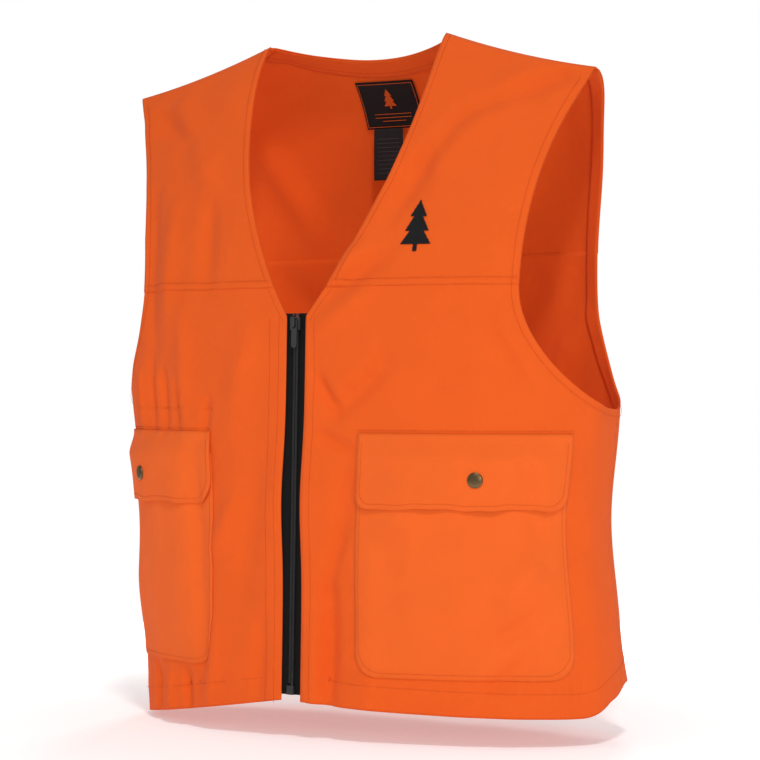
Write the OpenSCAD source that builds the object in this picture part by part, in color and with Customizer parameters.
// Blaze orange hunting vest, as worn on an unseen body.
// Millimetres. +Z up, the front faces -Y, +X is the wearer's left.
// The origin is midway between the two high points of the shoulders, where neck meets shoulder.
//
// Every cloth piece lies on one body surface, on_body(angle, fall):
//   angle  degrees around the body; 0 centre front, 90 wearer's left, 180 centre back
//   fall   how far down the cloth is from the shoulder line
// A piece is a grid of (angle, fall) pairs, raised off that surface and given a thickness.

/* [Body] */
// half of the chest width, side to side
chest_half_width = 287; // [240:1:330]
// how much the waist comes in on each side
waist_dip = 12; // [0:1:40]
// how far below the shoulders the waist is
waist_fall = 490; // [400:5:600]
// narrowing of the right side towards the hem, in mm for each mm of fall
right_side_taper = 0.086; // [0:0.002:0.15]
// depth of the chest in front of the shoulder line
front_depth = 110; // [90:1:150]
// forward lean of the zipper, in mm for each mm of fall
front_lean = 0.0285; // [0:0.0005:0.06]
// depth of the back behind the shoulder line
back_depth = 118; // [90:1:150]
// how far the shoulder tips drop below the neck points
shoulder_drop = 45; // [20:1:80]

/* [Cut] */
// thickness of the shell cloth
cloth = 1.2; // [0.8:0.1:2.5]
// half of the neck width
neck_half_width = 105; // [80:1:130]
// half of the shoulder-tip span
shoulder_half_width = 270; // [220:1:300]
// drop of the neckline at the centre back
back_neck_drop = 15; // [5:1:40]
// depth of the V neck
v_depth = 287; // [200:1:340]
// depth of the armholes
armhole_depth = 379; // [330:1:420]
// fall of the yoke seam in front
front_yoke_fall = 255; // [200:1:280]
// fall of the yoke seam behind
back_yoke_fall = 218; // [180:1:260]
// length at the zipper
front_length = 664; // [600:1:760]
// how much lower the hem hangs at the left front
left_hem_drop = 12; // [0:1:50]
// how much lower the hem hangs at the right front
right_hem_drop = 38; // [0:1:50]
// how much higher the hem sits behind than at the zipper
back_hem_rise = 16; // [0:1:60]
// width of the neck and armhole facings
facing_width = 24; // [12:1:50]
// height of the turned hem
hem_width = 28; // [12:1:50]

/* [Pockets] */
// fall of the flap seam
flap_seam_fall = 402; // [380:1:460]
// height of the flap
flap_height = 73; // [50:1:100]
// how far the pocket mouth is below the flap seam
mouth_gap = 22; // [21:1:40]
// fall of the pocket bottom
pocket_bottom_fall = 638; // [560:1:645]
// how far a filled pocket stands off the body
pocket_puff = 8; // [6:1:30]
// radius of the lower pocket corners
pocket_corner = 24; // [5:1:40]
// angles of the left pocket's front and rear edges
left_pocket_span = [14.5, 70]; // [0:0.5:90]
// angles of the right pocket's front and rear edges
right_pocket_span = [24, 82]; // [0:0.5:90]
// radius of the snap cap
snap_radius = 7.6; // [5:0.1:9]

/* [Zipper] */
// half of the gap between the front edges
zip_half_gap = 11; // [8:0.5:16]
// thickness of the zipper tape
tape = 0.5; // [0.3:0.1:1]
// length of the slider body
slider_length = 13; // [8:0.5:18]
// length of the pull tab
tab_length = 27; // [15:1:45]

/* [Trim] */
// size of the neck label
neck_label_size = [70, 47]; // [20:1:80]
// how far the labels sit towards the wearer's right
label_shift = [6, 14]; // [0:1:20]
// size of the care label
care_label_size = [35, 55]; // [20:1:80]
// width and height of the chest emblem
emblem_size = [32, 52]; // [20:1:80]

/* [Hidden] */
$fn = 40;

left = 1;
right = -1;
back_squareness = 0.75;       // exponent that fills the back's plan out at the sides
ease = 0.1;                   // gap between cloth pieces that lie face to face
facing_ease = 1.2;              // gap behind the shell for facings, which are cut in flat facets
facing_cloth = 0.7;
armhole_bottom_angle = 97;    // where the side seam runs
front_facing_end = 6;         // the V facings stop this far above the zipper
zip_facing_edges = [13, 30];
blaze = [0.93, 0.38, 0.13];
blaze_dark = [0.80, 0.30, 0.10];
black = [0.06, 0.06, 0.07];
brass = [0.45, 0.37, 0.24];

// ---- the body surface ----
function lerp(a, b, t) = a + (b - a) * t;
function smooth(t) = let (c = max(0, min(1, t))) c * c * (3 - 2 * c);
function power(x, p) = x <= 0 ? 0 : pow(x, p);

function half_width(fall, side) = chest_half_width - waist_dip * exp(-pow((fall - waist_fall) / 90, 2))
    - (side < 0 ? right_side_taper * max(fall - 200, 0) : 0);
function front_y(fall) = -front_depth * power(1 - power(1 - min(fall / v_depth, 1), 1.3), 0.75) - front_lean * fall;
function back_y(fall) = back_depth * sqrt(1 - pow(1 - min(fall / 200, 1), 2));
function shoulder_sag(x, fall) = let (f = max(abs(x) - neck_half_width, 0) / (shoulder_half_width - neck_half_width))
    shoulder_drop * (f + 0.35 * f * (1 - f)) * pow(max(1 - fall / front_yoke_fall, 0), 2);
function on_body(angle, fall) = let (
        s = sin(angle), c = cos(angle), a = half_width(fall, s),
        x = c >= -1e-9 ? a * s : a * sign(s) * pow(abs(s), back_squareness),
        y = c >= -1e-9 ? front_y(fall) * max(c, 0) : back_y(fall) * pow(-c, back_squareness))
    [x, y, -fall - shoulder_sag(x, fall)];
function unit(v) = v / norm(v);
function outward(angle, fall) = let (x = on_body(angle, 0)[0])
    fall < 0.01
        ? unit([abs(x) > neck_half_width ? sign(x) * shoulder_drop / (shoulder_half_width - neck_half_width) : 0, 0, 1])
        : unit(cross(on_body(angle, fall + 0.5) - on_body(angle, fall - 0.5 * min(1, fall)),
                     on_body(angle + 0.3, fall) - on_body(angle - 0.3, fall)));
function raised(p, off) = on_body(p[0], p[1]) + off * outward(p[0], p[1]);

// angles of the cut edges
function angle_at_front(x, fall) = asin(min(x / half_width(fall, left), 1));
function v_edge(fall) = zip_half_gap + (neck_half_width - zip_half_gap) * (1 - pow(min(fall, v_depth) / v_depth, 2.1));
function armhole_curve(fall, top, waist, bottom) = fall < front_yoke_fall
    ? waist + (top - waist) * pow(1 - fall / front_yoke_fall, 2.2)
    : waist + (bottom - waist) * (1 - sqrt(1 - pow(min((fall - front_yoke_fall) / (armhole_depth - front_yoke_fall), 1), 2)));
tip_ratio = shoulder_half_width / half_width(0, left);
function armhole_front(fall) = armhole_curve(fall, asin(tip_ratio), 50.8, armhole_bottom_angle);
function armhole_back(fall) = 180 - armhole_curve(fall, asin(pow(tip_ratio, 1 / back_squareness)), 49, 180 - armhole_bottom_angle);
function hem_fall(angle) = let (s = sin(angle), back = smooth((abs(angle > 180 ? angle - 360 : angle) - 72) / 36))
    front_length + (1 - back) * (s > 0 ? left_hem_drop * sqrt(s) : -right_hem_drop * s)
    - back * (s > 0 ? back_hem_rise : -back_hem_rise / 2) * abs(s) - back * back_hem_rise / 2 * (1 - abs(s));

// ---- grids to solids ----
// Rows run down the body and columns run with the angle, so faces turn outward.
function flat(rows) = [for (r = rows) each r];
function backwards(row) = [for (i = [len(row) - 1:-1:0]) row[i]];
// a left-hand grid, turned into the one for the given side
function sided(grid, side) = side > 0 ? grid : [for (r = grid) [for (p = backwards(r)) [-p[0], p[1]]]];

module shell(outer, inner, ring = false) {
    rows = len(outer);
    cols = len(outer[0]);
    m = rows * cols;
    last = ring ? cols - 1 : cols - 2;
    function at(i, j) = i * cols + j % cols;
    function quad(a, b, c, d) = [[a, b, c], [a, c, d]];
    faces = concat(
        [for (i = [0:rows - 2], j = [0:last]) each quad(at(i, j), at(i, j + 1), at(i + 1, j + 1), at(i + 1, j))],
        [for (i = [0:rows - 2], j = [0:last]) each quad(m + at(i + 1, j), m + at(i + 1, j + 1), m + at(i, j + 1), m + at(i, j))],
        [for (j = [0:last]) each quad(m + at(0, j), m + at(0, j + 1), at(0, j + 1), at(0, j))],
        [for (j = [0:last]) each quad(at(rows - 1, j), at(rows - 1, j + 1), m + at(rows - 1, j + 1), m + at(rows - 1, j))],
        ring ? [] : [for (i = [0:rows - 2]) each quad(m + at(i, 0), at(i, 0), at(i + 1, 0), m + at(i + 1, 0))],
        ring ? [] : [for (i = [0:rows - 2]) each quad(at(i, cols - 1), m + at(i, cols - 1), m + at(i + 1, cols - 1), at(i + 1, cols - 1))]);
    polyhedron(points = concat(flat(outer), flat(inner)), faces = faces);
}
// cloth on a grid of [angle, fall], its outer face raised by off
module cloth_on(grid, off, thick, ring = false)
    shell([for (r = grid) [for (p = r) raised(p, off)]], [for (r = grid) [for (p = r) raised(p, off - thick)]], ring);

// ---- shell panels ----
shoulder_cols = 10;
neck_cols = 5;
yoke_rows = 9;
arm_rows = 12;
lower_rows = 8;
function yoke_fall(i, seam) = seam * pow(i / yoke_rows, 1.8);
// columns over the shoulder line, from the neck point to the shoulder tip
function shoulder_x(j) = lerp(neck_half_width, shoulder_half_width, j / shoulder_cols);

front_yoke_grid = [for (i = [0:yoke_rows]) let (f = yoke_fall(i, front_yoke_fall), w = half_width(f, left) * sin(armhole_front(f)))
    [for (j = [0:shoulder_cols]) angle_at_front(lerp(v_edge(f), w, j / shoulder_cols), f)]];
module front_yoke(side) color(blaze)
    cloth_on(sided([for (i = [0:yoke_rows]) [for (a = front_yoke_grid[i]) [a, yoke_fall(i, front_yoke_fall)]]], side), 0, cloth);

// rows beside the armhole crowd towards its foot, where its edge turns level
function arm_fall(i, seam) = lerp(seam, armhole_depth, sin(90 * i / arm_rows));
function panel_falls(seam) = concat([for (i = [0:arm_rows - 1]) arm_fall(i, seam)], [for (i = [0:lower_rows]) armhole_depth + i]);
// a row index past the armhole means that fraction of the way to the hem
function panel_fall(f, angle) = f <= armhole_depth ? f
    : lerp(armhole_depth, hem_fall(angle), (f - armhole_depth) / lower_rows);
yoke_foot = front_yoke_grid[yoke_rows];
function panel_column(j) = (yoke_foot[j] - yoke_foot[0]) / (yoke_foot[shoulder_cols] - yoke_foot[0]);
function front_panel_angle(f, j) = lerp(angle_at_front(v_edge(f), f), armhole_front(f), panel_column(j));
module front_panel(side) color(blaze)
    cloth_on([for (r = sided([for (f = panel_falls(front_yoke_fall)) [for (j = [0:shoulder_cols]) [front_panel_angle(f, j), f]]], side))
        [for (p = r) [p[0], panel_fall(p[1], p[0])]]], 0, cloth);

// the back's columns, as fractions of the way from the centre back to the armhole
function over_x(x) = asin(pow(x / half_width(0, left), 1 / back_squareness));
back_half = concat([for (j = [0:neck_cols - 1]) over_x(neck_half_width * j / neck_cols)],
    [for (j = [0:shoulder_cols]) over_x(shoulder_x(j))]) / over_x(shoulder_half_width);
back_columns = concat([for (k = backwards(back_half)) k], [for (j = [1:len(back_half) - 1]) -back_half[j]]);
function back_top(k) = let (j = abs(k) * over_x(shoulder_half_width), x = half_width(0, left) * pow(sin(j), back_squareness))
    x >= neck_half_width - 1e-6 ? 0 : back_neck_drop * (1 - pow(x / neck_half_width, 2));
function back_point(k, f) = [180 - k * (180 - armhole_back(f)), f];
module back_yoke() color(blaze)
    cloth_on([for (i = [0:yoke_rows]) [for (k = back_columns)
        let (f = lerp(back_top(k), back_yoke_fall, pow(i / yoke_rows, 1.8))) [180 - k * (180 - armhole_back(yoke_fall(i, back_yoke_fall))), f]]], 0, cloth);
module back_panel() color(blaze)
    cloth_on([for (f = panel_falls(back_yoke_fall)) [for (k = back_columns)
        let (p = back_point(k, f)) [p[0], panel_fall(f, p[0])]]], 0, cloth);

// ---- facings ----
inside = -cloth - facing_ease;
module back_neck_facing() color(blaze_dark)
    cloth_on([for (w = [0, facing_width / 2, facing_width]) [for (j = [-neck_cols:neck_cols])
        let (x = (neck_half_width - 2) * j / neck_cols) [180 - sign(x) * over_x(abs(x)), back_neck_drop * (1 - pow(x / neck_half_width, 2)) + 1.5 + w]]],
        inside, facing_cloth);
neck_facing_rows = 12;
module neck_facing(side) color(blaze_dark)
    cloth_on(sided([for (i = [0:neck_facing_rows]) let (f = lerp(1.5, v_depth - front_facing_end, pow(i / neck_facing_rows, 1.3)))
        [for (w = [0, facing_width / 2, facing_width]) [angle_at_front(v_edge(f) + w, f), f]]], side), inside, facing_cloth);

// The armhole facing is a ring of points round the hole and the same ring moved away from it.
function hole_falls(seam) = concat([for (i = [0:yoke_rows - 1]) yoke_fall(i, seam)], [for (i = [0:arm_rows - 1]) arm_fall(i, seam)]);
ring_points = concat(
    [for (f = hole_falls(front_yoke_fall)) [armhole_front(f), f]], [[armhole_bottom_angle, armhole_depth]],
    [for (f = backwards(hole_falls(back_yoke_fall))) if (f > 0) [armhole_back(f), f]]);
ring_scale = 4.6; // mm along the body for each degree, near the armhole
function ring_at(i) = let (p = ring_points[(i + len(ring_points)) % len(ring_points)]) [p[0] * ring_scale, p[1]];
function ring_away(i) = i == 0 ? [-1, 0] : let (t = unit(ring_at(i + 1) - ring_at(i - 1))) [-t[1], max(t[0], 0)];
facing_slack = 0.6;           // how far the facing's free edge stands off the shell
armhole_facing_ease = 0.7;    // extra gap for the ring, which turns across the shell's facets
module armhole_facing(side) {
    function ring(w) = sided([[for (i = [0:len(ring_points) - 1])
        [ring_at(i)[0] / ring_scale + w * ring_away(i)[0] / ring_scale, ring_points[i][1] + w * ring_away(i)[1]]]], side)[0];
    function lifted(off) = [for (w = [1, 0.5, 0]) [for (p = ring(w * facing_width)) raised(p, inside - armhole_facing_ease - w * facing_slack - off)]];
    color(blaze_dark) shell(lifted(0), lifted(facing_cloth), ring = true);
}

module hem_facing() color(blaze_dark) {
    first = angle_at_front(zip_facing_edges[1] + 10, front_length);
    front = [for (j = [0:shoulder_cols]) let (a = front_panel_angle(armhole_depth + 1, j)) if (a > first + 1) a];
    back = [for (k = back_columns) let (a = back_point(k, armhole_depth)[0]) if (abs(a - 180) < 82.5) a];
    angles = concat([first], front, back, [for (a = backwards(front)) 360 - a], [360 - first]);
    cloth_on([for (w = [hem_width, 1]) [for (a = angles) [a, hem_fall(a) - w]]], inside, facing_cloth);
}

// ---- pockets ----
function span(side) = side > 0 ? left_pocket_span : right_pocket_span;
pocket_mouth = flap_seam_fall + mouth_gap;
// rounded lower corners, and a stand-off that falls to nothing along the sewn edges
function corner_inset(fall) = let (d = pocket_corner - (pocket_bottom_fall - fall))
    d <= 0 ? 0 : pocket_corner - sqrt(max(pow(pocket_corner, 2) - d * d, 0));
function pocket_angle(side, u, fall) = let (e = span(side), k = corner_inset(fall) / 213)
    lerp(lerp(e[0], e[1], k), lerp(e[0], e[1], 1 - k), u);
function puff(u, fall) = pocket_puff * smooth(min(u, 1 - u) * 8) * smooth((pocket_bottom_fall - fall) / 22);
pocket_u = [0, 0.03, 0.07, 0.13, 0.25, 0.37, 0.5, 0.63, 0.75, 0.87, 0.93, 0.97, 1];
pocket_falls = concat([for (i = [0:6]) lerp(pocket_mouth, pocket_bottom_fall - pocket_corner, i / 6)],
    [for (a = [25, 50, 70, 85]) pocket_bottom_fall - pocket_corner * (1 - sin(a))], [pocket_bottom_fall - 0.05]);
function signed(row, side) = side > 0 ? row : backwards(row);
module pocket(side) color(blaze)
    shell([for (f = pocket_falls) signed([for (u = pocket_u) raised([side * pocket_angle(side, u, f), f], ease + cloth + puff(u, f))], side)],
        [for (f = pocket_falls) signed([for (u = pocket_u) raised([side * pocket_angle(side, u, f), f], ease + puff(u, f))], side)]);

flap_clear = 11.9;     // stand-off of the closed flap, over the pocket and the snap
flap_rise = 28;        // the flap reaches that stand-off this far below its seam
flap_overlap = 0.7;    // degrees by which the flap is wider than the pocket on each side
flap_falls = [0, 0.07, 0.15, 0.23, 0.31, 0.39, 0.6, 0.8, 0.92, 1];
function flap_point(side, u, v) = let (e = span(side), end = min(u, 1 - u), k = v > 0.9 && end < 0.001 ? 0.02 : 0)
    [side * lerp(e[0] - flap_overlap, e[1] + flap_overlap, u < 0.5 ? u + k : u - k), flap_seam_fall + v * flap_height];
function flap_off(v) = 0.3 + flap_clear * smooth(v * flap_height / flap_rise);
module flap_layer(side, low, high) {
    us = [0, 0.04, 0.14, 0.26, 0.38, 0.5, 0.62, 0.74, 0.86, 0.96, 1];
    shell([for (v = flap_falls) signed([for (u = us) raised(flap_point(side, u, v), flap_off(v) + high)], side)],
        [for (v = flap_falls) signed([for (u = us) raised(flap_point(side, u, v), flap_off(v) + low)], side)]);
}
module flap_lining(side) color(blaze_dark) flap_layer(side, 0, 0.65);
module flap(side) color(blaze) flap_layer(side, 0.7, 1.5);

// ---- snaps ----
// drawn with z out of the cloth, from the body surface at the middle of the flap
snap_fall = flap_seam_fall + flap_height * 0.6;
module at_snap(side) {
    e = span(side);
    a = side * (e[0] + e[1]) / 2;
    p = on_body(a, snap_fall);
    n = outward(a, snap_fall);
    translate(p) rotate([0, acos(n[2]), atan2(n[1], n[0])]) children();
}
stud_base = pocket_puff + ease + cloth + 0.15;
flap_in = flap_clear + 0.3;
flap_out = flap_in + 1.5;
module snap_post(side) color(brass) at_snap(side) translate([0, 0, pocket_puff - 1.3]) cylinder(r = 6, h = 0.9);
module snap_stud(side) color(brass) at_snap(side) translate([0, 0, stud_base]) {
    cylinder(r = 6, h = 0.6);
    cylinder(r1 = 2.6, r2 = 3.1, h = 1.6);
}
module snap_socket(side) color(brass) at_snap(side) translate([0, 0, flap_in - 1.6]) difference() {
    cylinder(r = 6.2, h = 1.15);
    translate([0, 0, -1]) cylinder(r = 4.1, h = 4);
}
module snap_cap(side) color(brass) at_snap(side) translate([0, 0, flap_out + 0.1]) rotate_extrude() polygon(concat(
    [[0, 0], [snap_radius - 0.6, 0], [snap_radius, 0.5], [snap_radius - 0.2, 1.1]],
    [for (t = [20:20:80]) [(snap_radius - 0.4) * cos(t), 1.1 + 1.3 * sin(t)]], [[0, 2.4]]));

// ---- zipper ----
// drawn on a line that leans with the front: x across, y out of the cloth reversed, z up from the V
zip_tilt = atan(front_lean);
module on_zip(s = 0) translate(on_body(0, v_depth)) rotate([-zip_tilt, 0, 0]) translate([0, 0, -s]) children();
// a block between two x, two distances out of the cloth, and two distances down the zipper
module zip_block(x, out, s) on_zip() translate([x[0], -out[1], -s[1]]) cube([x[1] - x[0], out[1] - out[0], s[1] - s[0]]);
tape_front = -1.9;
coil_out = [tape_front + ease, 0.5];
tape_end = front_length - v_depth - 4;
coil_end = tape_end - 10;
module zip_tape(side) color(black)
    zip_block(side > 0 ? [1, 16] : [-16, -1], [tape_front - tape, tape_front], [-3, tape_end]);
module zip_coil(side) color(black)
    zip_block(side > 0 ? [0.15, 3] : [-3, -0.15], coil_out, [5, coil_end - 1]);
module zip_facing(side) color(blaze_dark) {
    e = zip_facing_edges;
    zip_block(side > 0 ? e : [-e[1], -e[0]], [-4, -3.2], [0, tape_end]);
}
module zip_top_stops() color(brass) for (side = [left, right])
    zip_block(side > 0 ? [1.3, 3.8] : [-3.8, -1.3], [tape_front + 0.02, 0.8], [-2.6, 0]);
box_top = coil_end + 1;
module zip_box() color(black) difference() {
    zip_block([-3.8, 3.8], [tape_front + 0.05, 1.4], [box_top, tape_end]);
    zip_block([0.2, 2.8], [-1.2, 0.8], [box_top - 1, tape_end - 2]);
}
module zip_pin() color(black) zip_block([0.5, 2.5], [-1, 0.6], [coil_end - 0.8, tape_end - 2.2]);

slider_top = 0.6;
plate_out = [1, 2.4];
module slider_body() color(black) {
    s = [slider_top, slider_top + slider_length];
    zip_block([-5.5, 5.5], plate_out, s);
    zip_block([-5.5, 5.5], [-4.3, -2.9], s);
    zip_block([-0.9, 0.9], [-3, 1.1], [s[0], s[0] + 3]);
    for (x = [[-5.5, -4.2], [4.2, 5.5]]) zip_block(x, [-0.9, 1.1], s);
    difference() {
        zip_block([-1.1, 1.1], [2.3, 5.4], [s[0] + 1.4, s[0] + 10.4]);
        zip_block([-2, 2], [2.4, 4.3], [s[0] + 2.8, s[0] + 9]);
    }
}
hinge_out = 3.4;
hinge_down = slider_top + 4;
module pull_tab() color(black) {
    on_zip(hinge_down) translate([0, -hinge_out, 0]) {
        rotate([0, 90, 0]) cylinder(r = 0.75, h = 6.4, center = true);
        difference() {
            hull() for (z = [-0.2, 3.4 - tab_length]) translate([0, 0, z]) rotate([90, 0, 0]) cylinder(r = 3.2, h = 1, center = true);
            translate([-1.8, -2, -7.6]) cube([3.6, 4, 7.6]);
            translate([-1.8, -2, -0.1]) cube([3.6, 4, 5]);
            translate([-4, -2, 0.5]) cube([8, 4, 5]);
        }
    }
}

// ---- trim ----
label_top = 34;
module neck_label() color(black)
    cloth_on([for (v = [0:0.2:1]) [for (x = [-1:0.5:1])
        let (f = label_top + v * neck_label_size[1]) [180 - over_back(x * neck_label_size[0] / 2 - label_shift[0], f), f]]], -3.4, 0.5);
function over_back(x, fall) = sign(x) * asin(pow(abs(x) / half_width(fall, left), 1 / back_squareness));
care_top = label_top + neck_label_size[1] + 1;
module care_label() color(black)
    translate([-care_label_size[0] / 2 - label_shift[1], back_y(care_top) - 5.8, -care_top - care_label_size[1]])
        cube([care_label_size[0], 0.5, care_label_size[1]]);

emblem_middle = [121, 200];
// a plain pine tree: [how far down, half width], as fractions
pine = [[0, 0.02], [0.26, 0.55], [0.27, 0.26], [0.52, 0.78], [0.53, 0.4], [0.8, 1], [0.81, 0.16], [1, 0.16]];
module chest_emblem() color(black)
    cloth_on([for (r = pine) let (f = emblem_middle[1] + (r[0] - 0.5) * emblem_size[1])
        [for (k = [-1, 0, 1]) [angle_at_front(emblem_middle[0] + k * r[1] * emblem_size[0] / 2, f), f]]], 0.85, 0.75);

back_yoke();
back_panel();
front_yoke(left);  // left_front_yoke
front_yoke(right);  // right_front_yoke
front_panel(left);  // left_front_panel
front_panel(right);  // right_front_panel
back_neck_facing();
neck_facing(left);  // left_neck_facing
neck_facing(right);  // right_neck_facing
armhole_facing(left);  // left_armhole_facing
armhole_facing(right);  // right_armhole_facing
zip_facing(left);  // left_zip_facing
zip_facing(right);  // right_zip_facing
hem_facing();
pocket(left);  // left_pocket
pocket(right);  // right_pocket
flap(left);  // left_flap
flap(right);  // right_flap
flap_lining(left);  // left_flap_lining
flap_lining(right);  // right_flap_lining
snap_cap(left);  // left_snap_cap
snap_cap(right);  // right_snap_cap
snap_socket(left);  // left_snap_socket
snap_socket(right);  // right_snap_socket
snap_stud(left);  // left_snap_stud
snap_stud(right);  // right_snap_stud
snap_post(left);  // left_snap_post
snap_post(right);  // right_snap_post
zip_tape(left);  // left_zip_tape
zip_tape(right);  // right_zip_tape
zip_coil(left);  // left_zip_coil
zip_coil(right);  // right_zip_coil
zip_top_stops();
zip_pin();
zip_box();
slider_body();
pull_tab();
neck_label();
care_label();
chest_emblem();
